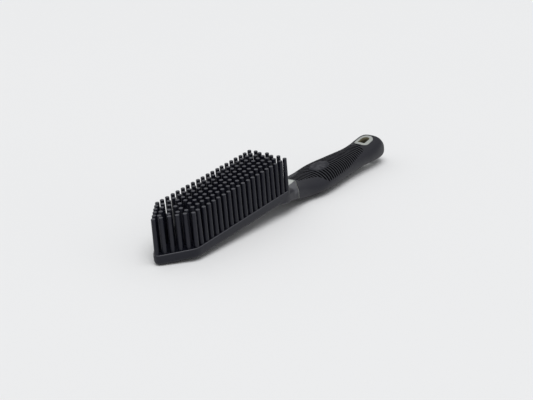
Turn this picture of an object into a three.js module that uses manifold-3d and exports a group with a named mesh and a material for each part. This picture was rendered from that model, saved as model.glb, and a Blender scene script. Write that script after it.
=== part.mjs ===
// Pet hair removal brush, lying on its back with the pins up.
//
// A hard plastic core carries two rubber mouldings. The head is a long plate with a V-pointed front,
// wrapped in a rubber boot and covered with a field of thick rubber pins. A short cranked neck leads
// down to a ribbed rubber grip with a hanging eyelet at its end.
//
// The brush is modelled in the plane of its head: X runs from the point to the grip, Z runs along the
// pins and z = 0 is the rim of the head. At the end it is tipped onto the table it lies on.

import * as THREE from 'three';
import { mergeVertices } from 'three/addons/utils/BufferGeometryUtils.js';
import Module from 'manifold-3d';

const wasm = await Module();
wasm.setup();

// Driving dimensions, in millimetres

const clearance = 0.3;

// Head: a straight-sided plan with a V front
const headLength = 110;
const headWidth = 30.4;
const headTaper = 0.6;
const headRearWidth = headWidth - 2 * headTaper;
const pointLength = 20.5;
const pointRadius = 3.5;
const shoulderRadius = 9;
const rearCornerRadius = 4;
const headThickness = 6.4;
const backEdgeRadius = 2.4;
const rimEdgeRadius = 0.5;
const rimWall = 0.5;
const sideWall = 1.8;
const backWall = 1.7;

// Pin field
const pinPitch = 4.45;
const pinHeight = 22.05;
const pinCrown = 0.7;
const pinBaseRadius = 1.4;
const pinTipRadius = 1.2;
const pinSides = 8;
const pointPinInset = 2.4;
const sidePinInset = 2;
const rearPinInset = 3.1;
const shoulderPinSetback = 1.55;
const bedDepth = 0.6;
const rootDepth = 0.5;

// Core
const plateThickness = 2.2;
const lockHoleRadius = 2.2;
const lockHolePitch = 18;
const lockHoleFromShoulder = 6;
const plateRearInset = 5;
const spineHalfWidth = 5;
const spineThickness = 6;

// Neck: the collar of the head sweeps back in a V over the neck and meets the grip in a thin parting
// line, given in plan from the front of the grip. Inside the V, a window bares the core.
const neckLength = 10;
const collarWall = 1;
const partingPlan = [
  { from: 7.9, side: 3.2 },
  { from: 6.8, side: 4.2 },
  { from: -0.5, side: 10.6 },
  { from: -1.8, side: 12.7 },
];
const partingGap = 1.5;
const partingFlange = 0.6;
const partingRecess = 0.2;
const windowFromHead = 3;
const windowLength = 16.4;
const windowFrontWidth = 14.6;
const windowRearWidth = 3.8;
const windowCornerRadius = 1.2;
const windowRecess = 0.3;
const windowFall = 6;

// Grip: stations from its front and from its end, with the width, the top below the rim of the head and
// the lift of the bottom above the table
const gripLength = 108.8;
const gripFrontStations = [
  { from: -2, width: 25.4, top: -2.95, lift: 5.1, power: 4.4 },
  { from: 0, width: 24.6, top: -3.4, lift: 4.1, power: 4 },
  { from: 12, width: 24, top: -5.6, lift: 1, power: 2.6 },
  { from: 26, width: 28, top: -7.2, lift: 0, power: 2.2 },
  { from: 40, width: 26.8, top: -6.5, lift: 0, power: 2.3 },
  { from: 58, width: 22.8, top: -7.7, lift: 1.3 },
];
const gripEndStations = [
  { before: 33, width: 21, top: -9.1, lift: 2.4, power: 2.2 },
  { before: 23, width: 21.2, top: -8.9, lift: 2.4, power: 2.1 },
  { before: 15.5, width: 20.8, top: -8.1, lift: 2.4, power: 2.3 },
  { before: 9, width: 18.6, top: -7.95, lift: 2.6, power: 2.7 },
  { before: 4.6, width: 15.4, top: -10.8, lift: 2.8, power: 2.6 },
  { before: 1.4, width: 10.8, top: -14.2, lift: 3.4, power: 2.5 },
  { before: 0, width: 6.4, top: -16.4, lift: 4.5 },
];

// Hanging eyelet: an arched hole, straight toward the head and round toward the end, in a ring of
// constant wall that stands a little proud of the rubber
const eyeletFromEnd = 15.7;
const eyeletHoleRadius = 2.6;
const eyeletHoleReach = 5.3;
const eyeletCornerRadius = 0.9;
const eyeletWall = 2.9;
const eyeletProud = 0.25;

// Oval boss on the grip
const bossFromGripFront = 39;
const bossLength = 14.5;
const bossWidth = 10;
const bossProud = 0.5;
const bossRoot = 4;

// Ribs of the grip: bowed grooves across the hand. Their field starts narrow behind the neck window,
// spreads over the swell, ends low on both sides and stops before the eyelet.
const ribPitch = 2.3;
const ribGrooveWidth = 1.1;
const ribGrooveDepth = 0.7;
const ribBow = 0.012;
const ribBossGap = 0.6;
const firstRib = 12.8;
const ribFieldPlan = [
  { from: 11.5, side: 3.9 },
  { from: 19.4, side: 5.3 },
  { from: 24.6, side: 6.9 },
  { from: 26.8, side: 8.6 },
  { from: 28, side: 11.5 },
];
const ribFieldFoot = [
  { from: 28, z: -12 },
  { from: 55, z: -13 },
  { from: 80, z: -11 },
];
const ribFieldBeforeEyelet = 13.1;
const ribFieldRearSide = 7.5;

const tableTilt = THREE.MathUtils.degToRad(5.48);

// Colours and finishes

const rubber = { color: 0x2b2b2e, roughness: 0.62, metalness: 0 };
const hardPlastic = { color: 0xc6c8c2, roughness: 0.42, metalness: 0 };

// Solid helpers

function solid(geometry) {
  const bare = geometry.clone();
  bare.deleteAttribute('normal');
  bare.deleteAttribute('uv');
  const merged = mergeVertices(bare, 1e-5);
  const vertProperties = new Float32Array(merged.attributes.position.array);
  const triVerts = new Uint32Array(merged.index.array);
  return new wasm.Manifold(new wasm.Mesh({ numProp: 3, vertProperties, triVerts }));
}

function piece(name, body, finish) {
  const mesh = body.getMesh();
  const geometry = new THREE.BufferGeometry();
  geometry.setAttribute('position', new THREE.BufferAttribute(Float32Array.from(mesh.vertProperties), 3));
  geometry.setIndex(new THREE.BufferAttribute(Uint32Array.from(mesh.triVerts), 1));
  geometry.computeVertexNormals();
  const result = new THREE.Mesh(geometry, new THREE.MeshStandardMaterial(finish));
  result.name = name;
  return result;
}

// A closed skin over rings of points. Every ring has the same count and runs the same way round,
// counter-clockwise as seen against the direction in which the rings follow each other.
function skin(rings) {
  const count = rings[0].length;
  const positions = rings.flat().flatMap((point) => [point.x, point.y, point.z]);
  const faces = [];
  for (let ring = 0; ring + 1 < rings.length; ring += 1) {
    for (let step = 0; step < count; step += 1) {
      const next = (step + 1) % count;
      const a = ring * count + step;
      const b = ring * count + next;
      faces.push(a, b, b + count, a, b + count, a + count);
    }
  }
  const lastRing = (rings.length - 1) * count;
  const cap = (ring) => THREE.ShapeUtils.triangulateShape(flatten(rings[ring]), []);
  for (const [a, b, c] of cap(0)) faces.push(c, b, a);
  for (const [a, b, c] of cap(rings.length - 1)) faces.push(lastRing + a, lastRing + b, lastRing + c);
  const geometry = new THREE.BufferGeometry();
  geometry.setAttribute('position', new THREE.Float32BufferAttribute(positions, 3));
  geometry.setIndex(faces);
  return solid(geometry);
}

// The ring in the plane that shows its area: XY for a level ring, YZ for a section across the brush.
function flatten(ring) {
  const level = ring.every((point) => Math.abs(point.z - ring[0].z) < 1e-6);
  if (level) return ring.map((point) => new THREE.Vector2(point.x, point.y));
  return ring.map((point) => new THREE.Vector2(point.y, point.z));
}

// A prism whose outline lies in XZ, running across the brush
function acrossPrism(outline, halfWidth) {
  const shape = new THREE.Shape(outline.map(([x, z]) => new THREE.Vector2(x, z)));
  const geometry = new THREE.ExtrudeGeometry(shape, { depth: 2 * halfWidth, bevelEnabled: false });
  geometry.rotateX(Math.PI / 2);
  geometry.translate(0, halfWidth, 0);
  return solid(geometry);
}

// A prism whose outline lies in XY, standing between two heights
function uprightPrism(shape, bottom, top, curveSegments = 12) {
  const depth = top - bottom;
  const geometry = new THREE.ExtrudeGeometry(shape, { depth, bevelEnabled: false, curveSegments });
  geometry.translate(0, 0, bottom);
  return solid(geometry);
}

// Lofted body along X. Each station gives x, the half width, the top and the bottom; the section is a
// superellipse, boxier with a higher power.
const sectionSides = 24;
const roundPower = 2.4;

function section({ x, half, top, bottom, power = roundPower }) {
  const middle = (top + bottom) / 2;
  const rise = (top - bottom) / 2;
  const ring = [];
  for (let step = 0; step < sectionSides; step += 1) {
    const turn = (2 * Math.PI * step) / sectionSides;
    const bulge = (value) => Math.sign(value) * Math.abs(value) ** (2 / power);
    ring.push(new THREE.Vector3(x, half * bulge(Math.cos(turn)), middle + rise * bulge(Math.sin(turn))));
  }
  return ring;
}

function loft(stations, grow = 0) {
  const grown = stations.map((station) => ({
    ...station,
    half: station.half + grow,
    top: station.top + grow,
    bottom: station.bottom - grow,
  }));
  return skin(grown.map(section));
}

// Smooth stations between a few driving ones
function smoothStations(driving, steps) {
  const keys = ['x', 'half', 'top', 'bottom', 'power'];
  const curves = {};
  for (const key of keys) {
    const points = driving.map((station, i) => new THREE.Vector2(i, station[key] ?? roundPower));
    curves[key] = new THREE.SplineCurve(points);
  }
  const stations = [];
  for (let step = 0; step <= steps; step += 1) {
    const station = {};
    for (const key of keys) station[key] = curves[key].getPoint(step / steps).y;
    stations.push(station);
  }
  return stations;
}

// Head outline

const half = headWidth / 2;
const rearHalf = headRearWidth / 2;

// Corners of the head's plan, counter-clockwise from the point, with the radius of each
const headCorners = [
  { x: 0, y: 0, radius: pointRadius },
  { x: pointLength, y: -half, radius: shoulderRadius },
  { x: headLength, y: -rearHalf, radius: rearCornerRadius },
  { x: headLength, y: rearHalf, radius: rearCornerRadius },
  { x: pointLength, y: half, radius: shoulderRadius },
];
const arcSteps = 6;

// The plan drawn in by a distance, as a loop of points with its corners rounded
function headLoop(inset, z) {
  const count = headCorners.length;
  const edges = headCorners.map((corner, i) => {
    const next = headCorners[(i + 1) % count];
    const along = new THREE.Vector2(next.x - corner.x, next.y - corner.y).normalize();
    const inward = new THREE.Vector2(-along.y, along.x);
    return { along, start: new THREE.Vector2(corner.x, corner.y).addScaledVector(inward, inset), inward };
  });
  const loop = [];
  headCorners.forEach((corner, i) => {
    const before = edges[(i + count - 1) % count];
    const after = edges[i];
    const radius = Math.max(corner.radius - inset, 0.4);
    const offsetStart = after.start.clone().sub(before.start);
    const cross = before.along.cross(after.along);
    const meet = before.start.clone().addScaledVector(before.along, offsetStart.cross(after.along) / cross);
    const turn = Math.atan2(cross, before.along.dot(after.along));
    const setBack = radius * Math.tan(turn / 2);
    const centre = meet.clone().addScaledVector(before.along, -setBack);
    centre.addScaledVector(before.inward, radius);
    const from = Math.atan2(-before.inward.y, -before.inward.x);
    for (let step = 0; step <= arcSteps; step += 1) {
      const angle = from + (turn * step) / arcSteps;
      const x = centre.x + radius * Math.cos(angle);
      loop.push(new THREE.Vector3(x, centre.y + radius * Math.sin(angle), z));
    }
  });
  return loop;
}

const backZ = -headThickness;
const plateBottom = backZ + backWall + clearance;
const plateTop = plateBottom + plateThickness;
const bedBottom = plateTop + clearance;
const bedTop = -bedDepth;

// How far the cutting shapes run past the brush
const cutBelow = -40;
const cutAbove = 10;
const cutHalfWidth = half + 5;

// Neck and grip stations, from the head's rear down the crank to the end of the handle

const gripFront = headLength + neckLength;
const gripEnd = gripFront + gripLength;
const eyeletX = gripEnd - eyeletFromEnd;

// The table under the brush: it touches the front of the head's flat back and the swell of the grip
const pointSetback = pointRadius / Math.sin(Math.atan2(half, pointLength)) - pointRadius;
const restX = pointSetback + backEdgeRadius;
const tableZ = (x) => backZ - Math.tan(tableTilt) * (x - restX);

function gripStation(x, { width, top, lift, power }) {
  return { x, half: width / 2, top, bottom: tableZ(x) + lift, power };
}

const gripStations = smoothStations(
  [
    ...gripFrontStations.map((station) => gripStation(gripFront + station.from, station)),
    ...gripEndStations.map((station) => gripStation(gripEnd - station.before, station)),
  ],
  30,
);

// Height of the grip's skin on the centre line, at its top or bottom
function gripSkin(x, side) {
  const after = gripStations.findIndex((station) => station.x >= x);
  const from = gripStations[Math.max(after - 1, 0)];
  const to = gripStations[after];
  return THREE.MathUtils.mapLinear(x, from.x, to.x, from[side], to[side]);
}

// The spine runs along the middle of the grip's thickness
function spineStation(x) {
  const middle = (gripSkin(x, 'top') + gripSkin(x, 'bottom')) / 2;
  return { x, half: spineHalfWidth, top: middle + spineThickness / 2, bottom: middle - spineThickness / 2 };
}

// The neck swings from the flat plate down to the round front of the spine. Its first stations are placed
// from the rear of the head and the others from the front of the grip, with how far the neck's side lies
// inside the head's or the grip's, and how far its top and its bottom fall below the plate.
const neckHeadStations = [
  { from: -16, inside: 2, topFall: 0, bottomFall: 0, power: 8 },
  { from: -10, inside: 1.4, topFall: 0, bottomFall: 1.6, power: 8 },
  { from: -4, inside: 1.5, topFall: 0.1, bottomFall: 2.9, power: 7 },
  { from: 2, inside: 2.1, topFall: 0.8, bottomFall: 4.1, power: 6 },
];
const neckGripStations = [
  { from: -2, inside: 0.7, topFall: 2, bottomFall: 6.4, power: 4.6 },
  { from: 4, inside: 1.4, topFall: 3.2, bottomFall: 8.8, power: 3.2 },
  { from: 8.5, inside: 1.9, topFall: 4, bottomFall: 9.9, power: 2.6 },
  { from: 13, inside: 2.9, topFall: 6, bottomFall: 10.9, power: 2.2 },
];
const gripFrontHalf = gripFrontStations.find(({ from }) => from === 0).width / 2;

function neckStation(x, sideHalf, { inside, topFall, bottomFall, power }) {
  return { x, half: sideHalf - inside, top: plateTop - topFall, bottom: plateBottom - bottomFall, power };
}

const neckStations = smoothStations(
  [
    ...neckHeadStations.map((station) => neckStation(headLength + station.from, rearHalf, station)),
    ...neckGripStations.map((station) => neckStation(gripFront + station.from, gripFrontHalf, station)),
    { ...spineStation(gripFront + 21), half: spineHalfWidth + 2 },
    spineStation(gripFront + 32),
    spineStation(eyeletX - 20),
    spineStation(eyeletX),
  ],
  33,
);

// Hanging eyelet: the arched outline of its hole, grown outward by a distance

function archShape(grow) {
  const radius = eyeletHoleRadius + grow;
  const corner = eyeletCornerRadius + grow / 2;
  const cornerX = eyeletX - eyeletHoleReach - grow + corner;
  const cornerY = radius - corner;
  const shape = new THREE.Shape();
  shape.absarc(cornerX, -cornerY, corner, Math.PI, 1.5 * Math.PI, false);
  shape.absarc(eyeletX, 0, radius, -Math.PI / 2, Math.PI / 2, false);
  shape.absarc(cornerX, cornerY, corner, Math.PI / 2, Math.PI, false);
  shape.closePath();
  return shape;
}

// Pin places: three nested V-fronted contours and a middle row, counted in pitches from the point's pin.
// The rows fill the head up to its rear.

const outerRow = 3;
const pinContours = [
  { row: outerRow, apex: 0, frontPins: 5, rowStart: 5.05 },
  { row: 1.95, apex: 1.2, frontPins: 3, rowStart: 5.12 },
  { row: 1, apex: 3.05, frontPins: 1, rowStart: 5.8 },
];
const middleRowStart = 4.15;
const pinRowSpacing = (half - sidePinInset) / outerRow;
const pinOriginX = pointPinInset + pinBaseRadius;
const frontEnd = (pointLength + shoulderPinSetback - pinOriginX) / pinPitch;
const rowEnd = (headLength - rearPinInset - pinOriginX) / pinPitch;

function pinPlaces() {
  const places = [];
  const add = (pitch, row) => {
    places.push({ x: pinOriginX + pitch * pinPitch, y: row * pinRowSpacing, row });
  };
  for (const { row, apex, frontPins, rowStart } of pinContours) {
    add(apex, 0);
    for (const side of [-1, 1]) {
      for (let pin = 1; pin <= frontPins; pin += 1) {
        const share = pin / frontPins;
        add(THREE.MathUtils.lerp(apex, frontEnd, share), side * row * share);
      }
      for (let pitch = rowStart; pitch <= rowEnd; pitch += 1) add(pitch, side * row);
    }
  }
  for (let pitch = middleRowStart; pitch <= rowEnd; pitch += 1) add(pitch, 0);
  return places;
}

function pin({ x, y, row }) {
  const top = bedTop + pinHeight - pinCrown * (row / outerRow) ** 2;
  const profile = [
    new THREE.Vector2(0, bedTop - rootDepth),
    new THREE.Vector2(pinBaseRadius, bedTop - rootDepth),
    new THREE.Vector2(pinTipRadius, top),
    new THREE.Vector2(0, top),
  ];
  const geometry = new THREE.LatheGeometry(profile, pinSides);
  geometry.rotateX(Math.PI / 2);
  geometry.translate(x, y, 0);
  return solid(geometry);
}

// Lock holes along the plate, through which the pad grips the core
const firstLockHole = pointLength + lockHoleFromShoulder;
const lastLockHole = headLength - plateRearInset - lockHoleRadius;
const lockHoles = [];
for (let x = firstLockHole; x <= lastLockHole; x += lockHolePitch) lockHoles.push(x);

function lockStud(x, radius, bottom, top) {
  const geometry = new THREE.CylinderGeometry(radius, radius, top - bottom, 16);
  geometry.rotateX(Math.PI / 2);
  geometry.translate(x, 0, (top + bottom) / 2);
  return solid(geometry);
}

// All that lies behind a place along the brush
function behind(x) {
  const rear = gripEnd + cutHalfWidth;
  return acrossPrism([[x, cutBelow], [rear, cutBelow], [rear, cutAbove], [x, cutAbove]], cutHalfWidth);
}

// A shape in plan, the same on both sides of the middle plane
function symmetricShape(nearSide) {
  const farSide = nearSide.map(([x, y]) => [x, -y]).reverse();
  return new THREE.Shape([...nearSide, ...farSide].map(([x, y]) => new THREE.Vector2(x, y)));
}

// All that lies behind the parting line, moved back by a distance
function behindParting(offset) {
  const front = partingPlan.map(({ from, side }) => [gripFront + from + offset, -side]);
  const rear = gripEnd + cutHalfWidth;
  const plan = symmetricShape([...front, [front.at(-1)[0], -cutHalfWidth], [rear, -cutHalfWidth]]);
  return uprightPrism(plan, cutBelow, cutAbove);
}

// Neck window: a tapered opening in the rubber on top of the neck, drawn in by a distance
function windowPrism(inset) {
  const front = headLength + windowFromHead + inset;
  const rear = headLength + windowFromHead + windowLength - inset;
  const taper = (windowFrontWidth - windowRearWidth) / 2 / windowLength;
  const sideInset = inset * Math.hypot(1, taper);
  const frontSide = windowFrontWidth / 2 - inset * taper - sideInset;
  const rearSide = windowRearWidth / 2 + inset * taper - sideInset;
  const corner = windowCornerRadius;
  const shape = new THREE.Shape();
  shape.moveTo(front, -frontSide);
  shape.lineTo(rear - corner, -rearSide);
  shape.absarc(rear - corner, corner - rearSide, corner, -Math.PI / 2, 0, false);
  shape.absarc(rear - corner, rearSide - corner, corner, 0, Math.PI / 2, false);
  shape.lineTo(front, frontSide);
  shape.closePath();
  const aboveMiddle = acrossPrism(
    [[front, plateBottom], [rear, plateBottom - windowFall], [rear, cutAbove], [front, cutAbove]],
    cutHalfWidth,
  );
  return uprightPrism(shape, cutBelow, cutAbove, 4).intersect(aboveMiddle);
}

// Core: plate, neck, spine and eyelet in one hard moulding

function makeCore() {
  const inset = sideWall + clearance;
  const plate = skin([headLoop(inset, plateBottom), headLoop(inset, plateTop)]);
  let body = plate.subtract(behind(headLength - plateRearInset)).add(loft(neckStations));
  for (const x of lockHoles) body = body.subtract(lockStud(x, lockHoleRadius, cutBelow, cutAbove));
  const windowSkin = loft(neckStations, clearance + collarWall - windowRecess);
  const bare = windowPrism(clearance).intersect(windowSkin);
  const ring = uprightPrism(archShape(eyeletWall), cutBelow, cutAbove, 9)
    .intersect(loft(gripStations, eyeletProud));
  const hole = uprightPrism(archShape(0), cutBelow, cutAbove, 9);
  const partingLine = loft(neckStations, clearance + collarWall - partingRecess)
    .intersect(behindParting((partingGap - partingFlange) / 2))
    .subtract(behindParting((partingGap + partingFlange) / 2));
  return wasm.Manifold.union([body, bare, partingLine, ring]).subtract(hole);
}

// Head boot: floor and side wall round the plate, with a collar on the neck

function makeHeadBoot() {
  const round = backEdgeRadius;
  const rings = [
    headLoop(round, backZ),
    headLoop(round * 0.45, backZ + round * 0.17),
    headLoop(round * 0.12, backZ + round * 0.52),
    headLoop(0, backZ + round),
    headLoop(0, plateTop),
  ];
  const collar = loft(neckStations, clearance + collarWall).subtract(behindParting(0));
  const padRear = headLength + clearance;
  const underPad = acrossPrism(
    [[-cutHalfWidth, plateTop], [padRear, plateTop], [padRear, cutAbove], [-cutHalfWidth, cutAbove]],
    cutHalfWidth,
  );
  const pocket = skin([headLoop(sideWall, plateBottom - clearance), headLoop(sideWall, cutAbove)]);
  return skin(rings)
    .add(collar)
    .subtract(underPad)
    .subtract(pocket)
    .subtract(loft(neckStations, clearance))
    .subtract(windowPrism(0));
}

// Pin pad: the top slice of the head, with a thin rim, the studs that lock it to the plate and the pins

function makePinPad() {
  const slab = skin([
    headLoop(0, bedBottom),
    headLoop(0, -rimEdgeRadius),
    headLoop(rimEdgeRadius * 0.4, 0),
  ]);
  const bedRecess = skin([headLoop(rimWall, bedTop), headLoop(rimWall, cutAbove)]);
  const studRadius = lockHoleRadius - clearance;
  const studs = lockHoles.map((x) => lockStud(x, studRadius, plateBottom, bedBottom + rootDepth));
  return wasm.Manifold.union([slab.subtract(bedRecess), ...studs, ...pinPlaces().map(pin)]);
}

// Grip sleeve: the lofted rubber grip with a channel for the spine, its ribs and the oval boss

function bossPrism(grow) {
  const bossX = gripFront + bossFromGripFront;
  const outline = new THREE.Shape();
  outline.absellipse(bossX, 0, bossLength / 2 + grow, bossWidth / 2 + grow, 0, 2 * Math.PI);
  return uprightPrism(outline, gripSkin(bossX, 'top') - bossRoot, cutAbove, 10);
}

function ribField() {
  const rear = eyeletX - ribFieldBeforeEyelet;
  const plan = symmetricShape([
    ...ribFieldPlan.map(({ from, side }) => [gripFront + from, -side]),
    [gripFront + ribFieldPlan.at(-1).from, -cutHalfWidth],
    [rear - ribFieldRearSide, -cutHalfWidth],
    [rear, -ribFieldRearSide],
  ]);
  const foot = ribFieldFoot.map(({ from, z }) => [gripFront + from, z]);
  const front = [gripFront, foot[0][1]];
  const over = acrossPrism(
    [front, ...foot, [gripEnd, foot.at(-1)[1]], [gripEnd, cutAbove], [gripFront, cutAbove]],
    cutHalfWidth,
  );
  return uprightPrism(plan, cutBelow, cutAbove).intersect(over).subtract(bossPrism(ribBossGap));
}

// One groove as a bowed strip in plan
function ribGroove(x) {
  const sides = [-1, -0.5, 0, 0.5, 1].map((share) => share * cutHalfWidth);
  const edge = (offset) => sides.map((y) => new THREE.Vector2(x + offset - ribBow * y * y, y));
  const strip = new THREE.Shape([...edge(ribGrooveWidth / 2), ...edge(-ribGrooveWidth / 2).reverse()]);
  return uprightPrism(strip, cutBelow, cutAbove);
}

function ribGrooves() {
  const grooves = [];
  for (let x = gripFront + firstRib; x < eyeletX; x += ribPitch) grooves.push(ribGroove(x));
  return wasm.Manifold.union(grooves).intersect(ribField()).subtract(loft(gripStations, -ribGrooveDepth));
}

function makeGripSleeve() {
  const eyeletCut = uprightPrism(archShape(eyeletWall + clearance), cutBelow, cutAbove, 9);
  return loft(gripStations)
    .intersect(behindParting(partingGap))
    .subtract(ribGrooves())
    .add(bossPrism(0).intersect(loft(gripStations, bossProud)))
    .subtract(loft(neckStations, clearance))
    .subtract(windowPrism(0))
    .subtract(eyeletCut);
}

const brush = new THREE.Group();
brush.add(
  piece('core', makeCore(), hardPlastic),
  piece('head_boot', makeHeadBoot(), rubber),
  piece('pin_pad', makePinPad(), rubber),
  piece('grip_sleeve', makeGripSleeve(), rubber),
);

// Tip the brush onto the table and set it on the origin
brush.rotation.y = -tableTilt;
brush.updateMatrixWorld(true);
const box = new THREE.Box3().setFromObject(brush, true);
brush.position.set(-(box.min.x + box.max.x) / 2, 0, -box.min.z);

export default brush;
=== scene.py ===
# %% [markdown]
# A pet hair brush of black rubber on a light grey plastic core. It lies on its back with its pins up.
# The CAD frame fixes every size and place. This lesson rebuilds its four pieces at the fineness that
# a close look needs: smooth lofts, rounded pin tips and a ribbed grip.

# %% Load the frame
import math

import bmesh
import bpy
import numpy as np
from mathutils import Matrix, Vector


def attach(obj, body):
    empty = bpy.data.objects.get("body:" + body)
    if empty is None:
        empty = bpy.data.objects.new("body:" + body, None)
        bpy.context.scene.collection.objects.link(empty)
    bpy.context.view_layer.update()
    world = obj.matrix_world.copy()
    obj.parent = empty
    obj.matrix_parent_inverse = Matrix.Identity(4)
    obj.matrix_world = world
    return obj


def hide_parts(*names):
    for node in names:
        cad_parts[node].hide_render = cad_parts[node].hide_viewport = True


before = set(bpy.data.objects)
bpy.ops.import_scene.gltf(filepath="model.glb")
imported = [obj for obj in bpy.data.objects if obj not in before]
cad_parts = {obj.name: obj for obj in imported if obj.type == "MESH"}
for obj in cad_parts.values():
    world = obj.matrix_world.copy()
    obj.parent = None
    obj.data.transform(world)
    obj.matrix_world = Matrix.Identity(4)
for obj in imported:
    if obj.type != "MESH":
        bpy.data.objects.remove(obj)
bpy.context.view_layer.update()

# %% [markdown]
# The brush was drawn in the plane of its head, in millimetres: x runs from the point of the head to the
# end of the handle, z runs along the pins and z = 0 is the rim. On the table it is tipped by a few
# degrees. One function takes drawn points to the table, so that every later number is a plain measure.

# %% From the drawing to the table
TILT = math.radians(5.48)
DRAWING_ORIGIN = np.array([-115.264, 0.0, 6.0584])


def on_table(points):
    p = np.asarray(points, float)
    x = math.cos(TILT) * p[:, 0] - math.sin(TILT) * p[:, 2]
    z = math.sin(TILT) * p[:, 0] + math.cos(TILT) * p[:, 2]
    return (np.stack([x, p[:, 1], z], axis=1) + DRAWING_ORIGIN) / 1000


def off_table(points):
    p = np.asarray(points, float) * 1000 - DRAWING_ORIGIN
    x = math.cos(TILT) * p[:, 0] + math.sin(TILT) * p[:, 2]
    z = math.cos(TILT) * p[:, 2] - math.sin(TILT) * p[:, 0]
    return x, p[:, 1], z


print("rim of the point on the table", on_table([[0, 0, 0]])[0].round(4))

# %% [markdown]
# The camera comes before any modelling, because it says which details show. A long lens looks down at
# about twenty degrees across the point of the head. Its place and direction were found by fitting the
# pin rows and the outline, so they are written as they came out.

# %% Camera
def unit(v):
    v = np.asarray(v, float)
    return v / np.linalg.norm(v)


look = unit([0.74458, 0.56941, -0.34839])
side = unit([0.60340, -0.79733, -0.01359])
rise = np.cross(side, look)
camera_data = bpy.data.cameras.new("camera")
camera_data.sensor_fit = "HORIZONTAL"
camera_data.sensor_width = 36
camera_data.lens = 81.94
camera_data.clip_start = 0.01
camera = bpy.data.objects.new("camera", camera_data)
turn = Matrix((side, rise, -look)).transposed().to_4x4()
camera.matrix_world = Matrix.Translation((-0.56030, -0.41913, 0.26436)) @ turn
bpy.context.scene.collection.objects.link(camera)
bpy.context.scene.camera = camera
print("camera", [round(c, 3) for c in camera.location])

# %% [markdown]
# Materials are written as sums. A Wire holds one socket, and adding or multiplying two wires adds the
# Math node between them, so a mask reads like the formula that it is. Every other node comes from one
# method of the Finish that the wires belong to: it takes the node's type, its settings and its sockets.

# %% Wires and finishes
class Wire:
    def __init__(self, finish, socket):
        self.finish, self.socket = finish, socket

    def calc(self, operation, *values):
        return self.finish.node("ShaderNodeMath", {"operation": operation}, dict(enumerate(values)))

    def __add__(self, other): return self.calc("ADD", self, other)
    def __radd__(self, other): return self.calc("ADD", other, self)
    def __sub__(self, other): return self.calc("SUBTRACT", self, other)
    def __rsub__(self, other): return self.calc("SUBTRACT", other, self)
    def __mul__(self, other): return self.calc("MULTIPLY", self, other)
    def __rmul__(self, other): return self.calc("MULTIPLY", other, self)


class Finish:
    def __init__(self, name, **constants):
        self.material = bpy.data.materials.new(name)
        self.material.use_nodes = True
        self.tree = self.material.node_tree
        self.shader = self.tree.nodes["Principled BSDF"]
        self.set(**constants)

    def feed(self, socket, value):
        if isinstance(value, Wire):
            self.tree.links.new(value.socket, socket)
        else:
            socket.default_value = value

    def node(self, kind, settings=None, sockets=None, out=0):
        made = self.tree.nodes.new(kind)
        for key, value in (settings or {}).items():
            setattr(made, key, value)
        for key, value in (sockets or {}).items():
            self.feed(made.inputs[key], value)
        return Wire(self, made.outputs[out])

    def mix(self, share, first, second):
        settings = {"data_type": "RGBA", "blend_type": "MIX"}
        return self.node("ShaderNodeMix", settings, {0: share, 6: first, 7: second}, out=2)

    def noise(self, scale, detail=3.0, roughness=0.55):
        where = self.node("ShaderNodeTexCoord", out=3)
        sockets = {"Vector": where, "Scale": scale, "Detail": detail, "Roughness": roughness}
        return self.node("ShaderNodeTexNoise", {}, sockets)

    def bump(self, height, distance, strength=1.0):
        sockets = {"Height": height, "Distance": distance, "Strength": strength}
        return self.node("ShaderNodeBump", {}, sockets)

    def mark(self, name):
        return self.node("ShaderNodeAttribute", {"attribute_name": name}, out=2)

    def set(self, **sockets):
        for socket, value in sockets.items():
            self.feed(self.shader.inputs[socket.replace("_", " ")], value)


print("shader tools ready")

# %% [markdown]
# The rubber of the head is a smooth black moulding compound. Fresh from a polished mould it is not
# evenly black: faint greyish flow clouds run through it, its gloss changes a little with them, and a
# very fine grain breaks up the reflections. Seen flat along a surface it turns pale by itself. The flat
# tips of the pins, the rim and the shoulders of the neck face the lamp, and wherever the mesh has the
# mark for them the black is painted grey: a painted highlight.

# %% Head rubber
def head_rubber():
    finish = Finish("head_rubber", Specular_IOR_Level=0.29)
    clouds = finish.noise(55, 4)
    grain = finish.noise(2600, 2)
    painted_highlight = finish.mark("painted_highlight")
    black = finish.mix(clouds, (0.005, 0.0056, 0.011, 1), (0.010, 0.0106, 0.018, 1))
    # The mark paints the pin tips, the rim and the collar shoulders grey: a painted highlight.
    finish.set(
        Base_Color=finish.mix(painted_highlight * (0.5 + 0.5 * clouds), black, (0.066, 0.067, 0.078, 1)),
        Roughness=0.30 + 0.14 * clouds + 0.06 * grain - 0.06 * painted_highlight,
        Normal=finish.bump(grain, 0.00006, 0.35),
    )
    return finish.material


HEAD_RUBBER = head_rubber()
print("made", HEAD_RUBBER.name)
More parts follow.
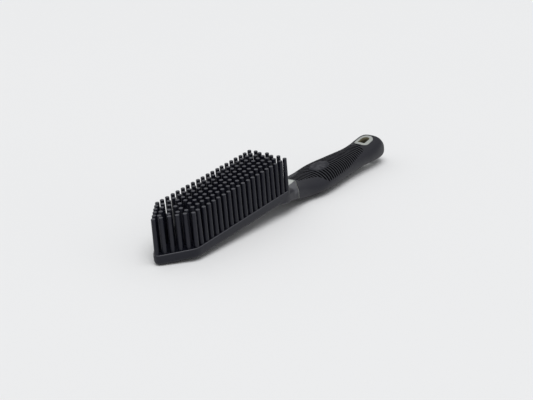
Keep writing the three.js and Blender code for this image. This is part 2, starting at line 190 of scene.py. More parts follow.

# %% [markdown]
# The grip has a softer, more matt rubber. Hands polish such a skin a little on its high places, which
# comes out here as a slow change of gloss over the grip, under a grain that is coarser than the head's.
# The mesh marks where the crests of the ribs are, which are painted greyer, a painted highlight, and made
# smoother, and the floors of the grooves, which a second, dull shader paints near-black, a painted shade.
# The oval boss is marked as well: it has no ribs, and a fine stipple with paler smears breaks up its face.

# %% Grip rubber
def grip_rubber():
    finish = Finish("grip_rubber", Specular_IOR_Level=0.32)
    wear = finish.noise(30, 3)
    grain = finish.noise(1800, 3)
    stipple = finish.noise(1100, 1)
    smear = finish.noise(420, 2)
    painted_groove_shade, crest, boss = finish.mark("painted_groove_shade"), finish.mark("crest"), finish.mark("boss")
    wear_and_shade = finish.mix(wear, (0.009, 0.0095, 0.0145, 1), (0.0155, 0.016, 0.0225, 1))
    # Painted highlight: the crests of the ribs are painted greyer.
    painted_crest_highlight = finish.mix(crest, wear_and_shade, (0.030, 0.031, 0.038, 1))
    finish.set(
        Base_Color=finish.mix(boss * (2.6 * smear - 0.9), painted_crest_highlight, (0.062, 0.063, 0.070, 1)),
        Roughness=0.42 + 0.14 * wear + 0.08 * grain - 0.08 * crest + 0.2 * boss,
        Normal=finish.bump(0.4 * grain + boss * stipple, 0.00010),
    )
    # Painted shade: the floors of the grooves get a near-black, dull shader.
    dull = {"Base Color": (0.002, 0.002, 0.0025, 1), "Roughness": 0.9, "Specular IOR Level": 0.05}
    painted_groove_black = finish.node("ShaderNodeBsdfPrincipled", {}, dull)
    skin_shader = Wire(finish, finish.shader.outputs["BSDF"])
    both = finish.node("ShaderNodeMixShader", {}, {0: painted_groove_shade, 1: skin_shader, 2: painted_groove_black})
    finish.feed(finish.tree.nodes["Material Output"].inputs["Surface"], both)
    return finish.material


GRIP_RUBBER = grip_rubber()
print("made", GRIP_RUBBER.name)

# %% [markdown]
# The core is a hard, light grey plastic with a satin moulded skin. Its colour is nearly even, with the
# slight cloudiness of filled plastic, and its fine spark-eroded grain keeps the gloss soft. The window on
# the neck is painted paler, a painted light, and the eyelet end darker, a painted shade. The wall of the
# bore is painted brown and darker the deeper it goes: painted shade inside the hole. In the narrow seam
# between the two rubbers the plastic is painted dark in blotches: painted shade in the seam.

# %% Core plastic
def core_plastic():
    finish = Finish("core_plastic", Specular_IOR_Level=0.5)
    cloud = finish.noise(90, 3)
    grain = finish.noise(3200, 2)
    bore = finish.mark("bore")
    # Painted light and shade: away from the eyelet end the core is painted paler, at the eyelet end darker.
    painted_lit_pale = finish.mix(cloud, (0.415, 0.437, 0.415, 1), (0.525, 0.55, 0.52, 1))
    wear_and_shade = finish.mix(cloud, (0.30, 0.316, 0.30, 1), (0.38, 0.396, 0.376, 1))
    pale = finish.mix(finish.mark("wear_and_shade"), painted_lit_pale, wear_and_shade)
    # Painted shade: the seam between the rubbers is painted dark in blotches.
    painted_seam_shade = finish.mix(finish.noise(600, 2), (0.03, 0.032, 0.03, 1), (0.17, 0.175, 0.165, 1))
    seam_shaded = finish.mix(finish.mark("seam"), pale, painted_seam_shade)
    # Painted shade: the wall of the bore is painted brown and darker the deeper it lies.
    painted_bore_shade = finish.mix(finish.mark("depth"), (0.23, 0.208, 0.13, 1), (0.045, 0.041, 0.026, 1))
    finish.set(
        Base_Color=finish.mix(bore, seam_shaded, painted_bore_shade),
        Roughness=0.38 + 0.14 * grain + 0.3 * bore,
        Normal=finish.bump(grain, 0.00005, 0.3),
    )
    return finish.material


CORE_PLASTIC = core_plastic()
print("made", CORE_PLASTIC.name)

# %% [markdown]
# Every body of the brush is a skin over rings of points: outlines stacked along the pins for the head,
# sections strung along the handle for the grip. A mesh written in this way has even, smooth
# faces, and its rounded edges are part of the rings, so no bevel has to find them later.

# %% Skins over rings
def piece(name, points, faces, finish):
    points = on_table(points)
    mesh = bpy.data.meshes.new(name)
    mesh.from_pydata(points.tolist(), [], faces)
    mesh.calc_loop_triangles()
    corners = points[[tri.vertices[:] for tri in mesh.loop_triangles]]
    volume = np.einsum("ij,ij->i", corners[:, 0], np.cross(corners[:, 1], corners[:, 2])).sum() / 6
    if volume < 0:
        mesh.flip_normals()
    mesh.materials.append(finish)
    made = bpy.data.objects.new(name, mesh)
    bpy.context.scene.collection.objects.link(made)
    return made


def skin(rings):
    rings = np.asarray(rings, float)
    rows, count, _ = rings.shape
    here = np.arange(rows - 1)[:, None] * count + np.arange(count)[None]
    there = np.arange(rows - 1)[:, None] * count + np.roll(np.arange(count), -1)[None]
    sides = np.stack([here, there, there + count, here + count], axis=-1).reshape(-1, 4).tolist()
    last = (rows - 1) * count
    return rings.reshape(-1, 3), sides + [list(range(count))[::-1], list(range(last, last + count))]


def soften(made, degrees=40):
    made.data.polygons.foreach_set("use_smooth", np.ones(len(made.data.polygons), bool))
    made.data.set_sharp_from_angle(angle=math.radians(degrees))
    return made


print("skin tools ready")

# %% [markdown]
# Where two skins meet, one is cut by the other or joined to it, as the halves of a mould would do it. Such
# a cut leaves slivers and flaps too thin to see, which would spoil the mesh for other uses, so they are
# welded or dropped. A finish often has to know where on a piece it is, so a mark puts a number on each
# point, worked out from the drawing.

# %% Cuts and marks
def carve(made, tool, operation):
    change = made.modifiers.new("carve", "BOOLEAN")
    change.object, change.operation, change.solver = tool, operation, "MANIFOLD"
    graph = bpy.context.evaluated_depsgraph_get()
    mesh = bpy.data.meshes.new_from_object(made.evaluated_get(graph))
    made.modifiers.clear()
    old, made.data = made.data, mesh
    bpy.data.meshes.remove(old)
    bpy.data.objects.remove(tool)
    return made


def drop_slivers(made, reach=4e-6):
    work = bmesh.new()
    work.from_mesh(made.data)
    bmesh.ops.remove_doubles(work, verts=work.verts, dist=reach)
    bmesh.ops.dissolve_degenerate(work, dist=reach, edges=work.edges)
    bmesh.ops.triangulate(work, faces=work.faces)
    twins = {}
    for face in work.faces:
        twins.setdefault(frozenset(face.verts), []).append(face)
    flaps = [face for pair in twins.values() if len(pair) > 1 for face in pair]
    bmesh.ops.delete(work, geom=flaps, context="FACES")
    work.to_mesh(made.data)
    work.free()
    return made


def drawn_points(made):
    flat = np.empty(3 * len(made.data.vertices))
    made.data.vertices.foreach_get("co", flat)
    return off_table(flat.reshape(-1, 3))


def step_up(value, low, high):
    t = np.clip((value - low) / (high - low), 0, 1)
    return t * t * (3 - 2 * t)


def mark(made, name, values):
    values = np.asarray(values, np.float32)
    made.data.attributes.new(name, "FLOAT", "POINT").data.foreach_set("value", values)


print("carve, drop_slivers and mark ready")

# %% [markdown]
# The head's plan is a long strip with a V-shaped front and rounded corners. The same outline, drawn in
# by some distance, gives the rim, the wall and the bed, so they always run side by side.

# %% Outline of the head
HEAD_LENGTH, HALF, REAR_HALF, POINT_LENGTH = 110, 15.2, 14.6, 20.5
POINT_RADIUS = 3.5
CORNERS = [
    ((0, 0), POINT_RADIUS),
    ((POINT_LENGTH, -HALF), 9),
    ((HEAD_LENGTH, -REAR_HALF), 4),
    ((HEAD_LENGTH, REAR_HALF), 4),
    ((POINT_LENGTH, HALF), 9),
]


def head_loop(inset, z, steps=12):
    loop = []
    for i, (corner, radius) in enumerate(CORNERS):
        corner = np.array(corner, float)
        before = unit(corner - CORNERS[i - 1][0])
        after = unit(np.array(CORNERS[(i + 1) % 5][0]) - corner)
        turn = math.atan2(before[0] * after[1] - before[1] * after[0], before @ after)
        inward = np.array([-before[1], before[0]])
        meet = corner + (inward - before * math.tan(turn / 2)) * inset
        round_off = max(radius - inset, 0.4)
        centre = meet - before * round_off * math.tan(turn / 2) + inward * round_off
        start = math.atan2(-inward[1], -inward[0])
        for angle in start + turn * np.linspace(0, 1, steps + 1):
            loop.append((*(centre + round_off * np.array([math.cos(angle), math.sin(angle)])), z))
    return loop


print("head outline has", len(head_loop(0, 0)), "points")

# %% [markdown]
# Neck and grip are lofts. Each driving station gives a width, a top, a bottom and how square its section
# is; a smooth curve through the stations fills in the rest. Sections are cut into equal steps of arc, so
# the faces stay even all round.

# %% Lofts along the handle
def smooth_stations(driving, steps=3000):
    drive = np.array(driving, float)
    place = np.linspace(0, len(drive) - 1, steps)
    index = np.minimum(place.astype(int), len(drive) - 2)
    t = (place - index)[:, None]
    p0, p1 = drive[np.maximum(index - 1, 0)], drive[index]
    p2, p3 = drive[index + 1], drive[np.minimum(index + 2, len(drive) - 1)]
    v0, v1 = (p2 - p0) / 2, (p3 - p1) / 2
    return (2 * p1 - 2 * p2 + v0 + v1) * t**3 + (3 * p2 - 3 * p1 - 2 * v0 - v1) * t**2 + v0 * t + p1


def stations_at(curve, xs):
    return np.stack([xs] + [np.interp(xs, curve[:, 0], curve[:, k]) for k in range(1, 5)], axis=1)


def bulge(v, power):
    return np.sign(v) * np.abs(v) ** (2 / power)


def section(station, count, grow=0.0, steps=1440):
    x, half, top, bottom, power = station
    turn = np.linspace(0, 2 * math.pi, steps + 1) + math.pi / 2
    y = (half + grow) * bulge(np.cos(turn), power)
    z = (top + bottom) / 2 + ((top - bottom) / 2 + grow) * bulge(np.sin(turn), power)
    way = np.concatenate([[0], np.cumsum(np.hypot(np.diff(y), np.diff(z)))])
    even = np.linspace(0, way[-1], count + 1)[:-1]
    return np.stack([np.full(count, x), np.interp(even, way, y), np.interp(even, way, z)], axis=1)


def loft(curve, xs, count, grow=0.0):
    return np.array([section(s, count, grow) for s in stations_at(curve, np.asarray(xs, float))])


print("loft tools ready")

# %% [markdown]
# On the real brush the grip is thickest where the palm sits, and the handle rests on that swell. So a
# station of the grip gives its width, its top and how far its underside is lifted off the table.

# %% Stations of the grip
BACK, BACK_EDGE = -6.4, 2.4
GRIP_FRONT, GRIP_END = 120.0, 228.8


def table_z(x):
    rest = POINT_RADIUS / math.sin(math.atan2(HALF, POINT_LENGTH)) - POINT_RADIUS + BACK_EDGE
    return BACK - math.tan(TILT) * (x - rest)


def grip_station(x, width, top, lift, power=2.4):
    return x, width / 2, top, table_z(x) + lift, power


GRIP = smooth_stations(
    [
        grip_station(GRIP_FRONT - 2, 25.4, -2.95, 5.1, 4.4),
        grip_station(GRIP_FRONT, 24.6, -3.4, 4.1, 4),
        grip_station(GRIP_FRONT + 12, 24, -5.6, 1, 2.6),
        grip_station(GRIP_FRONT + 26, 28, -7.2, 0, 2.2),
        grip_station(GRIP_FRONT + 40, 26.8, -6.5, 0, 2.3),
        grip_station(GRIP_FRONT + 58, 22.8, -7.7, 1.3),
        grip_station(GRIP_END - 33, 21, -9.1, 2.4, 2.2),
        grip_station(GRIP_END - 23, 21.2, -8.9, 2.4, 2.1),
        grip_station(GRIP_END - 15.5, 20.8, -8.1, 2.4, 2.3),
        grip_station(GRIP_END - 9, 18.6, -7.95, 2.6, 2.7),
        grip_station(GRIP_END - 4.6, 15.4, -10.8, 2.8, 2.6),
        grip_station(GRIP_END - 1.4, 10.8, -14.2, 3.4, 2.5),
        grip_station(GRIP_END, 6.4, -16.4, 4.5),
    ]
)
print("grip from", GRIP[0, 0], "to", GRIP[-1, 0])

# %% [markdown]
# The core's neck cranks down from the plate inside the head to the spine inside the grip. Its first
# stations say how far it lies inside the head's side and below the plate. The others follow the middle
# of the grip as far as the eyelet.

# %% Stations of the neck
PLATE_BOTTOM, PLATE_TOP = -4.4, -2.2
EYELET_X = GRIP_END - 15.7


def neck_station(from_head, inside, top_fall, bottom_fall, power):
    x, half = HEAD_LENGTH + from_head, REAR_HALF - inside
    return x, half, PLATE_TOP - top_fall, PLATE_BOTTOM - bottom_fall, power


def spine_station(x, half=5.0, rise=3.0):
    _, _, top, bottom, _ = stations_at(GRIP, np.array([x]))[0]
    middle = (top + bottom) / 2
    return x, half, middle + rise, middle - rise, 2.4


NECK = smooth_stations(
    [
        neck_station(-16, 2, 0, 0, 8),
        neck_station(-10, 1.4, 0, 1.6, 8),
        neck_station(-4, 1.25, 0.1, 2.9, 7),
        neck_station(2, 2.1, 0.8, 4.1, 6),
        neck_station(8, 3, 2, 6.4, 4.6),
        neck_station(14, 3.7, 3.2, 8.8, 3.2),
        neck_station(18.5, 4.2, 4, 9.9, 2.6),
        neck_station(23, 5.2, 6, 10.9, 2.2),
        spine_station(GRIP_FRONT + 21, 7),
        spine_station(GRIP_FRONT + 32),
        spine_station(EYELET_X - 20),
        spine_station(EYELET_X),
    ]
)
NECK_START = HEAD_LENGTH - 15.9
print("neck from", NECK[0, 0], "to", NECK[-1, 0])

# %% [markdown]
# The pins stand in nested contours: three V-fronted rows inside each other and one row down the middle.
# They could be scattered over the bed, but on the real brush the rows run true to the rim. So each contour
# gives its row, its apex, how many pins are on its slant and on its straight, and where the straight
# starts, all counted in pitches.

# %% Places of the pins
PITCH, ROW_SPACING, FIRST_PIN = 4.45, 4.4, 3.8
CONTOURS = [(3, 0, 5, 19, 5.05), (1.95, 1.2, 3, 19, 5.12), (1, 3.05, 1, 18, 5.8)]
SLANT_END, MIDDLE_START, MIDDLE_COUNT = 4.1, 4.15, 20


def pin_places():
    places = []
    for row, apex, slant, straight, start in CONTOURS:
        places.append((apex, 0.0))
        for way in (-1, 1):
            for n in range(1, slant + 1):
                places.append((apex + (SLANT_END - apex) * n / slant, way * row * n / slant))
            places += [(start + n, way * row) for n in range(straight)]
    places += [(MIDDLE_START + n, 0.0) for n in range(MIDDLE_COUNT)]
    return [(FIRST_PIN + PITCH * a, ROW_SPACING * b, b) for a, b in places]


print(len(pin_places()), "pins")

# %% [markdown]
# Each pin is a slightly tapered post that runs down into the bed. Its flat tip has a narrow rounded edge,
# which is what catches the light in a ring of small pale ovals. Real rubber pins never stand quite true,
# so each one leans by a fraction of a degree, from a seeded generator. Only the foremost pin never leans
# forward, because the box of the CAD ends at its tip. One mesh holds all the pins and their bed.

# %% Pins and their bed
BED, BED_BOTTOM, BED_INSET = -0.6, -1.9, 0.55
PIN_HEIGHT, PIN_CROWN, OUTER_ROW = 22.05, 0.7, 3
POST = [(1.40, -0.9), (1.40, 0.0), (1.40, 0.5), (1.39, 1.2), (1.30, 11.0)]
BELOW_TIP = [(1.21, -0.65), (1.20, -0.25)]
ROUNDED_TIP = [(1.18, -0.09), (1.12, -0.02), (1.05, 0.0), (0.4, 0.0)]
HIGHLIGHT_RADIUS = 1.15
LEAN_SPREAD, LEAN_LIMIT = 0.006, 0.012


def make_pins(sides=22):
    rng = np.random.default_rng(5)
    around = 2 * math.pi * np.arange(sides) / sides
    points, faces, tips = [], [], []
    for x, y, row in pin_places():
        height = PIN_HEIGHT - PIN_CROWN * (row / OUTER_ROW) ** 2
        profile = POST + [(r, height + z) for r, z in BELOW_TIP + ROUNDED_TIP]
        lean = np.clip(rng.normal(0, LEAN_SPREAD, 2), -LEAN_LIMIT, LEAN_LIMIT)
        if x == FIRST_PIN:
            lean[0] = abs(lean[0])
        rings = []
        for r, z in profile:
            shift_x, shift_y = lean * max(z, 0)
            ring = [x + r * np.cos(around) + shift_x, y + r * np.sin(around) + shift_y]
            rings.append(np.stack(ring + [np.full(sides, BED + z)], axis=1))
        pin_points, pin_faces = skin(rings)
        offset = sum(len(p) for p in points)
        points.append(pin_points)
        faces += [[v + offset for v in face] for face in pin_faces]
        # The rings of the flat tip get the mark for the painted highlight.
        tips.append(np.repeat([r < HIGHLIGHT_RADIUS for r, _ in profile], sides))
    bed_points, bed_faces = skin([head_loop(BED_INSET, BED_BOTTOM), head_loop(BED_INSET, BED)])
    offset = sum(len(p) for p in points)
    faces += [[v + offset for v in face] for face in bed_faces]
    made = piece("pin_field", np.concatenate(points + [bed_points]), faces, HEAD_RUBBER)
    mark(made, "painted_highlight", np.concatenate(tips + [np.zeros(len(bed_points))]))
    return made


pin_field = soften(make_pins(), 60)
print("pin field", len(pin_field.data.vertices), "points")

# %% [markdown]
# The window on the neck and the parting line are cuts in plan: on the real brush they are where the steel
# of the mould shuts on the core. So each is an outline seen from above, drawn upright into a block. The
# window tapers toward the rear. The parting line sweeps back in a V with eased corners, and the same line,
# set back by some distance, ends the collar, bounds the bared plastic and starts the grip.

# %% Cutting blocks
CUT_BOTTOM, CUT_TOP, CUT_SIDE, CUT_PAST = -40.0, 10.0, 25, 20
WINDOW_FRONT, WINDOW_REAR = HEAD_LENGTH + 3, HEAD_LENGTH + 19.8
WINDOW_FRONT_HALF, WINDOW_REAR_HALF, WINDOW_CORNER, WINDOW_FALL = 7.9, 2.4, 1.2, 6


def upright(name, loop, bottom=CUT_BOTTOM):
    loop = np.asarray(loop, float)
    rings = [np.c_[loop, np.broadcast_to(z, len(loop))] for z in (bottom, CUT_TOP)]
    return piece(name, *skin(rings), CORE_PLASTIC)


def window_block(name, inset):
    front, rear, corner = WINDOW_FRONT + inset, WINDOW_REAR - inset, WINDOW_CORNER
    taper = (WINDOW_FRONT_HALF - WINDOW_REAR_HALF) / (WINDOW_REAR - WINDOW_FRONT)
    drawn_in = inset * math.hypot(1, taper)
    front_side = WINDOW_FRONT_HALF - inset * taper - drawn_in
    rear_side = WINDOW_REAR_HALF + inset * taper - drawn_in
    arc = np.linspace(-math.pi / 2, 0, 7)
    near = [(rear - corner + corner * math.cos(a), corner - rear_side + corner * math.sin(a)) for a in arc]
    outline = [(front, -front_side)] + near + [(x, -y) for x, y in near[::-1]] + [(front, front_side)]
    bottom = [PLATE_BOTTOM - WINDOW_FALL * (x - front) / (rear - front) for x, _ in outline]
    return upright(name, outline, bottom)


def ease_corners(line, times=3):
    line = np.array(line, float)
    for _ in range(times):
        cut = np.stack([0.75 * line[:-1] + 0.25 * line[1:], 0.25 * line[:-1] + 0.75 * line[1:]], axis=1)
        line = np.concatenate([line[:1], cut.reshape(-1, 2), line[-1:]])
    return line


PARTING = ease_corners([(7.9, 3.2), (6.8, 4.2), (-0.5, 10.6), (-1.8, 12.7)])
COLLAR_END, GRIP_START, LINE_END = 0.2, 1.3, 1.5


def behind_parting(name, offset):
    near = [(GRIP_FRONT + start + offset, -side) for start, side in PARTING]
    near += [(near[-1][0], -CUT_SIDE), (GRIP_END + CUT_PAST, -CUT_SIDE)]
    return upright(name, near + [(x, -y) for x, y in near[::-1]])


print("parting line has", len(PARTING), "points on each side")

# %% [markdown]
# The boot of the head is one rubber tray: a flat back with a well-rounded edge, an upright wall and a thin
# rim round the pin bed. Its rear runs on into a collar that grips the neck. Tray and collar are two skins
# joined by one union, because a single grid could not follow both the V front and the round neck. The rim
# and the shoulders of the collar get the same mark as the tips of the pins, for a painted highlight.

# %% Head tray and collar
RIM = [(0, -0.55), (0.05, -0.22), (0.16, -0.06), (0.3, 0.0), (0.42, -0.06), (0.5, -0.2), (BED_INSET, BED)]
TRAY_FLOOR, COLLAR_WALL = -1.85, 1.3


def make_head_tray():
    turns = np.linspace(0, math.pi / 2, 8)
    back = [(BACK_EDGE * (1 - math.sin(a)), BACK + BACK_EDGE * (1 - math.cos(a))) for a in turns]
    rings = [head_loop(inset, z) for inset, z in back + RIM + [(BED_INSET, TRAY_FLOOR)]]
    return piece("head_tray", *skin(rings), HEAD_RUBBER)


head_tray = make_head_tray()
collar_xs = np.linspace(NECK_START, GRIP_FRONT + 9, 90)
collar = piece("collar", *skin(loft(NECK, collar_xs, 160, COLLAR_WALL)), HEAD_RUBBER)
carve(collar, behind_parting("collar_end", COLLAR_END), "DIFFERENCE")
above_bed = piece("above_bed", *skin([head_loop(0.5, BED_BOTTOM), head_loop(0.5, 6)]), HEAD_RUBBER)
carve(collar, above_bed, "DIFFERENCE")
carve(head_tray, collar, "UNION")
carve(head_tray, window_block("head_window", 0), "DIFFERENCE")
soften(drop_slivers(head_tray), 35)
x, y, z = drawn_points(head_tray)
# Painted highlight: the collar's shoulders and the rim get the mark that paints them grey.
shoulder = 1.1 * step_up(x, HEAD_LENGTH + 2.5, HEAD_LENGTH + 5.5) * step_up(z, -7.2, -4.6)
rim = 1.2 * step_up(z, -0.5, -0.2)
mark(head_tray, "painted_highlight", np.maximum(shoulder, rim))
print("head tray", len(head_tray.data.vertices), "points")

# %% [markdown]
# The grip's ribs run across the hand, bowed a little toward the end of the handle, over a field that
# starts narrow behind the neck, spreads down both sides and ends at the eyelet. They could be a bump in
# the material, but they show on the outline and have to be in the mesh. So the loft is cut finely and
# each point is pushed in or out by one height formula: grooves inside the field, none on the oval boss.

# %% Height of the grip's skin
RIB_PITCH, RIB_DEPTH, RIB_BOW = 2.3, 1.0, 0.012
BOSS_X, BOSS_LENGTH, BOSS_WIDTH, BOSS_PROUD = GRIP_FRONT + 39, 14.5, 10.0, 0.3
FIELD_START, FIELD_END, FIELD_END_HALF, FIELD_END_SLANT = 130.6, 199.7, 7.9, 0.74
FIELD_X = [129, 133.5, 139.4, 144.6, 146.8, 148, 150.5, 160]
FIELD_HALF = [3.7, 4.3, 5.3, 6.9, 8.6, 11.0, 15.0, 20.0]
FIELD_LOW_X = [148, 155, 162, 169, 175, 180, 186, 191, 196, 200]
FIELD_LOW = [-12.0, -12.3, -12.4, -12.8, -13.1, -12.6, -12.0, -11.5, -11.2, -11.0]
GROOVE_CUT, GROOVE_SHADE, CREST = (0.3, 0.62), (0.14, 0.45), (-0.3, -0.08)


def boss_reach(x, y, z):
    reach = np.hypot((x - BOSS_X) / (BOSS_LENGTH / 2), y / (BOSS_WIDTH / 2))
    return np.where(z > -11, reach, 9)


def rib_field(x, y, z):
    across = np.abs(y)
    inside = np.interp(x, FIELD_X, FIELD_HALF) - across
    inside = np.minimum(inside, z - np.interp(x, FIELD_LOW_X, FIELD_LOW))
    inside = np.minimum(inside, 0.8 * (FIELD_END + FIELD_END_SLANT * (FIELD_END_HALF - across) - x))
    inside = np.minimum(inside, x - FIELD_START)
    return step_up(inside, 0.0, 0.5) * step_up(boss_reach(x, y, z), 1.06, 1.16)


def rib_wave(x, y):
    return 0.5 - 0.5 * np.cos(2 * math.pi * (x + RIB_BOW * y * y) / RIB_PITCH)


def groove_share(x, y, z, band):
    return rib_field(x, y, z) * step_up(rib_wave(x, y), *band)


def crest_share(x, y, z):
    return rib_field(x, y, z) * step_up(-rib_wave(x, y), *CREST)


def grip_height(x, y, z):
    boss = BOSS_PROUD * step_up(-boss_reach(x, y, z), -1.05, -0.93)
    return boss - RIB_DEPTH * groove_share(x, y, z, GROOVE_CUT)


print("about", round((FIELD_END - FIELD_START) / RIB_PITCH), "ribs")

# %% [markdown]
# The eyelet is an arch in plan: straight across toward the head, round toward the end of the handle. The
# same outline, grown outward, gives the hole, the edges of its ring and the opening in the rubber.

# %% Arch of the eyelet
HOLE_RADIUS, HOLE_REACH, HOLE_CORNER, CORNER_GROWTH = 2.75, 5.5, 0.9, 1.15


def arch_loop(grow):
    radius, corner = HOLE_RADIUS + grow, HOLE_CORNER + CORNER_GROWTH * grow
    front, square = EYELET_X - HOLE_REACH - grow, HOLE_RADIUS + grow - corner
    bend = np.linspace(math.pi, 1.5 * math.pi, 9)
    end = np.linspace(-math.pi / 2, 0, 25)
    straight = np.linspace(0, 1, 10)[1:-1]
    x = [np.full(8, front), front + corner + corner * np.cos(bend)]
    y = [-square * straight, -square + corner * np.sin(bend)]
    x += [front + corner + (EYELET_X - front - corner) * straight, EYELET_X + radius * np.cos(end)]
    y += [np.full(8, -radius), radius * np.sin(end)]
    near = np.stack([np.concatenate(x), np.concatenate(y)], axis=1)
    far = near[:-1][::-1] * [1, -1]
    return np.concatenate([near, far])


print("arch has", len(arch_loop(0)), "points")

# %% [markdown]
# The sleeve is the loft of the grip with that height on it. Its rings crowd together at the end, where
# the handle rounds off. Three cuts follow: the opening round the eyelet, the window and the parting line.
# The marks for grooves, crests and boss come from the same formulas as the height, so they always agree.

# %% Grip sleeve
OPENING, ROUND_END = 2.6, 1.5


def make_grip(step=0.26, count=228):
    xs = np.arange(GRIP_FRONT - 2, GRIP_END - ROUND_END, step)
    xs = np.concatenate([xs, GRIP_END - ROUND_END * np.linspace(1, 0, 14) ** 1.6])
    rings = loft(GRIP, xs, count)
    along = np.roll(rings, -1, axis=1) - np.roll(rings, 1, axis=1)
    out = np.stack([np.zeros(along.shape[:2]), along[..., 2], -along[..., 1]], axis=-1)
    out /= np.linalg.norm(out, axis=-1, keepdims=True)
    height = grip_height(rings[..., 0], rings[..., 1], rings[..., 2])
    return piece("grip", *skin(rings + out * height[..., None]), GRIP_RUBBER)


grip = make_grip()
carve(grip, upright("eyelet_block", arch_loop(OPENING)), "DIFFERENCE")
carve(grip, window_block("grip_window", 0), "DIFFERENCE")
carve(grip, behind_parting("grip_start", GRIP_START), "INTERSECT")
soften(drop_slivers(grip), 40)
x, y, z = drawn_points(grip)
# The mark for the grooves places the painted shade, the mark for the crests the painted highlight.
mark(grip, "painted_groove_shade", groove_share(x, y, z, GROOVE_SHADE))
mark(grip, "crest", crest_share(x, y, z))
mark(grip, "boss", step_up(-boss_reach(x, y, z), -1.0, -0.92))
print("grip", len(grip.data.vertices), "points")

# %% [markdown]
# The eyelet's ring goes right through the handle. It could be two outlines and a bevel, but its top has to
# follow the curved skin of the grip. So it is swept from one profile: each point of the profile grows the
# arch by some distance and stands some distance off the grip's underside or top. That gives the pale rim
# the soft edge of a moulding.

# %% Ring of the eyelet
RING_UNDER = [(2.55, 0.5), (2.4, 0.05), (2.0, -0.1), (0.6, -0.1), (0.15, 0.05), (0, 0.5)]
RING_BORE = [(0, -6), (0, -3.6), (0, -2.6), (0, -1.4), (0, -0.3)]
RING_TOP = [(0.08, -0.05), (0.25, 0.12), (0.6, 0.2), (1.4, 0.22)]
RING_TOP += [(2.0, 0.16), (2.32, 0.04), (2.49, -0.16), (2.55, -0.6)]


def grip_skin(loop, side):
    _, half, top, bottom, power = stations_at(GRIP, loop[:, 0]).T
    rise = (1 - (abs(loop[:, 1]) / half) ** power) ** (1 / power)
    return (top + bottom) / 2 + side * (top - bottom) / 2 * rise


def make_eyelet():
    loops = []
    for side, profile in ((-1, RING_UNDER), (1, RING_BORE + RING_TOP)):
        for grow, off_skin in profile:
            loop = arch_loop(grow)
            loops.append(np.c_[loop, grip_skin(loop, side) + off_skin])
    loops.append(loops[0])
    points, faces = skin(loops)
    count = len(loops[0])
    faces = [[v % (len(points) - count) for v in face] for face in faces[:-2]]
    return piece("eyelet", points[:-count], faces, CORE_PLASTIC)


print("ring profile has", len(RING_UNDER + RING_BORE + RING_TOP), "points")

# %% [markdown]
# The core is one hard moulding: the plate in the head, the neck, the spine in the grip and the eyelet. It
# shows in three places: the bare window on top of the neck, a thin line between collar and grip, and the
# eyelet. At the window and the line the plastic stands up through the rubber, so there the neck is lofted
# again, a little thicker, and cut by the same blocks as the rubber round it.

# %% Core
BARE_WALL, LINE_WALL, WINDOW_GAP, PLATE_INSET = 1.22, 0.9, 0.05, 2.1

neck_xs = np.linspace(NECK_START, EYELET_X - 6, 220)
core = piece("core_body", *skin(loft(NECK, neck_xs, 120)), CORE_PLASTIC)
bare_xs = np.linspace(HEAD_LENGTH + 1, HEAD_LENGTH + 22, 90)
bare = piece("bare_window", *skin(loft(NECK, bare_xs, 200, BARE_WALL)), CORE_PLASTIC)
carve(bare, window_block("window_core", WINDOW_GAP), "INTERSECT")
carve(core, bare, "UNION")
line_xs = np.linspace(GRIP_FRONT - 3, GRIP_FRONT + 10, 60)
line = piece("parting_line", *skin(loft(NECK, line_xs, 200, LINE_WALL)), CORE_PLASTIC)
carve(line, behind_parting("line_start", 0), "INTERSECT")
carve(line, behind_parting("line_end", LINE_END), "DIFFERENCE")
carve(core, line, "UNION")
plate_rings = [head_loop(PLATE_INSET, PLATE_BOTTOM), head_loop(PLATE_INSET, PLATE_TOP)]
carve(core, piece("plate", *skin(plate_rings), CORE_PLASTIC), "UNION")
carve(core, make_eyelet(), "UNION")
soften(drop_slivers(core), 35)
print("core", len(core.data.vertices), "points")

# %% [markdown]
# The core's marks say where its plastic is painted with shade and light: the wall of the bore and how deep
# each point of it lies, the eyelet end of the brush, and the seam, which runs along the parting line but
# not across the window.

# %% Marks on the core
SEAM_REACH, SEAM_SIDE, SEAM_BELOW = 0.95, 2.5, -9

x, y, z = drawn_points(core)
bore_wall = arch_loop(0)
off_wall = np.hypot(x[:, None] - bore_wall[:, 0], y[:, None] - bore_wall[:, 1]).min(axis=1)
grip_top = grip_skin(np.c_[np.clip(x, GRIP_FRONT, GRIP_END), np.clip(y, -3, 3)], 1)
line_middle = GRIP_FRONT + np.interp(abs(y), PARTING[:, 1], PARTING[:, 0]) + LINE_END / 2
in_line = abs(x - line_middle) < SEAM_REACH
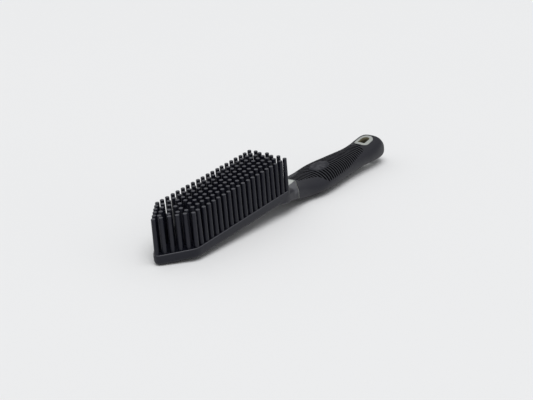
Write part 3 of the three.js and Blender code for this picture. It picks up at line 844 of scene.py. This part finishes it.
# These marks place painted shade: inside the bore, deeper towards its bottom, at the eyelet end, and in the
# seam.
mark(core, "bore", off_wall < 0.05)
mark(core, "depth", step_up(grip_top - z, 0.4, 3.0))
mark(core, "wear_and_shade", step_up(x, GRIP_FRONT + 40, GRIP_FRONT + 50))
mark(core, "seam", in_line & ((abs(y) > SEAM_SIDE) | (z < SEAM_BELOW)))
print("soiled points", int(in_line.sum()), "in the seam")

# %% [markdown]
# Now the new pieces take the places of the CAD nodes. Nothing moves on this brush, so all of them ride
# on the one root body.

# %% Put the pieces on the frame
for made, name, node in (
    (core, "plastic_core", "core"),
    (head_tray, "head_tray", "head_boot"),
    (pin_field, "pin_field", "pin_pad"),
    (grip, "ribbed_grip", "grip_sleeve"),
):
    made.name = name
    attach(made, "root")
    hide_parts(node)
print("pieces ride on root")

# %% [markdown]
# The stage is a plain pale table. One big soft lamp hangs above, a little to the camera's side of the
# brush, and an even pale sky gives the rest of the light. So the shadow stays close under the brush and
# has no hard edge anywhere.

# %% Table, sky and lamp
def make_table(reach=6.0, drop=-0.0002):
    finish = Finish("table_white", Roughness=0.9, Specular_IOR_Level=0.1)
    mottle = finish.noise(3, 2)
    finish.set(Base_Color=finish.mix(mottle, (0.826, 0.83, 0.834, 1), (0.840, 0.844, 0.848, 1)))
    mesh = bpy.data.meshes.new("table")
    corners = [(-reach, -reach, drop), (reach, -reach, drop), (reach, reach, drop), (-reach, reach, drop)]
    mesh.from_pydata(corners, [], [(0, 1, 2, 3)])
    mesh.materials.append(finish.material)
    table = bpy.data.objects.new("table", mesh)
    bpy.context.scene.collection.objects.link(table)


def soft_lamp(toward, width, power):
    data = bpy.data.lights.new("key", "SUN")
    data.angle, data.energy = width, power
    made = bpy.data.objects.new("key", data)
    made.rotation_euler = (-Vector(toward)).to_track_quat("-Z", "Y").to_euler()
    bpy.context.scene.collection.objects.link(made)


def pale_sky(color, strength):
    sky = bpy.data.worlds.new("sky")
    bpy.context.scene.world = sky
    sky.use_nodes = True
    background = sky.node_tree.nodes["Background"]
    background.inputs["Color"].default_value = color
    background.inputs["Strength"].default_value = strength


make_table()
soft_lamp((-0.28, -0.28, 1.0), width=0.8, power=1.75)
pale_sky((0.985, 0.99, 1, 1), strength=0.5)
bpy.context.scene.view_settings.view_transform = "Standard"
print("stage ready")
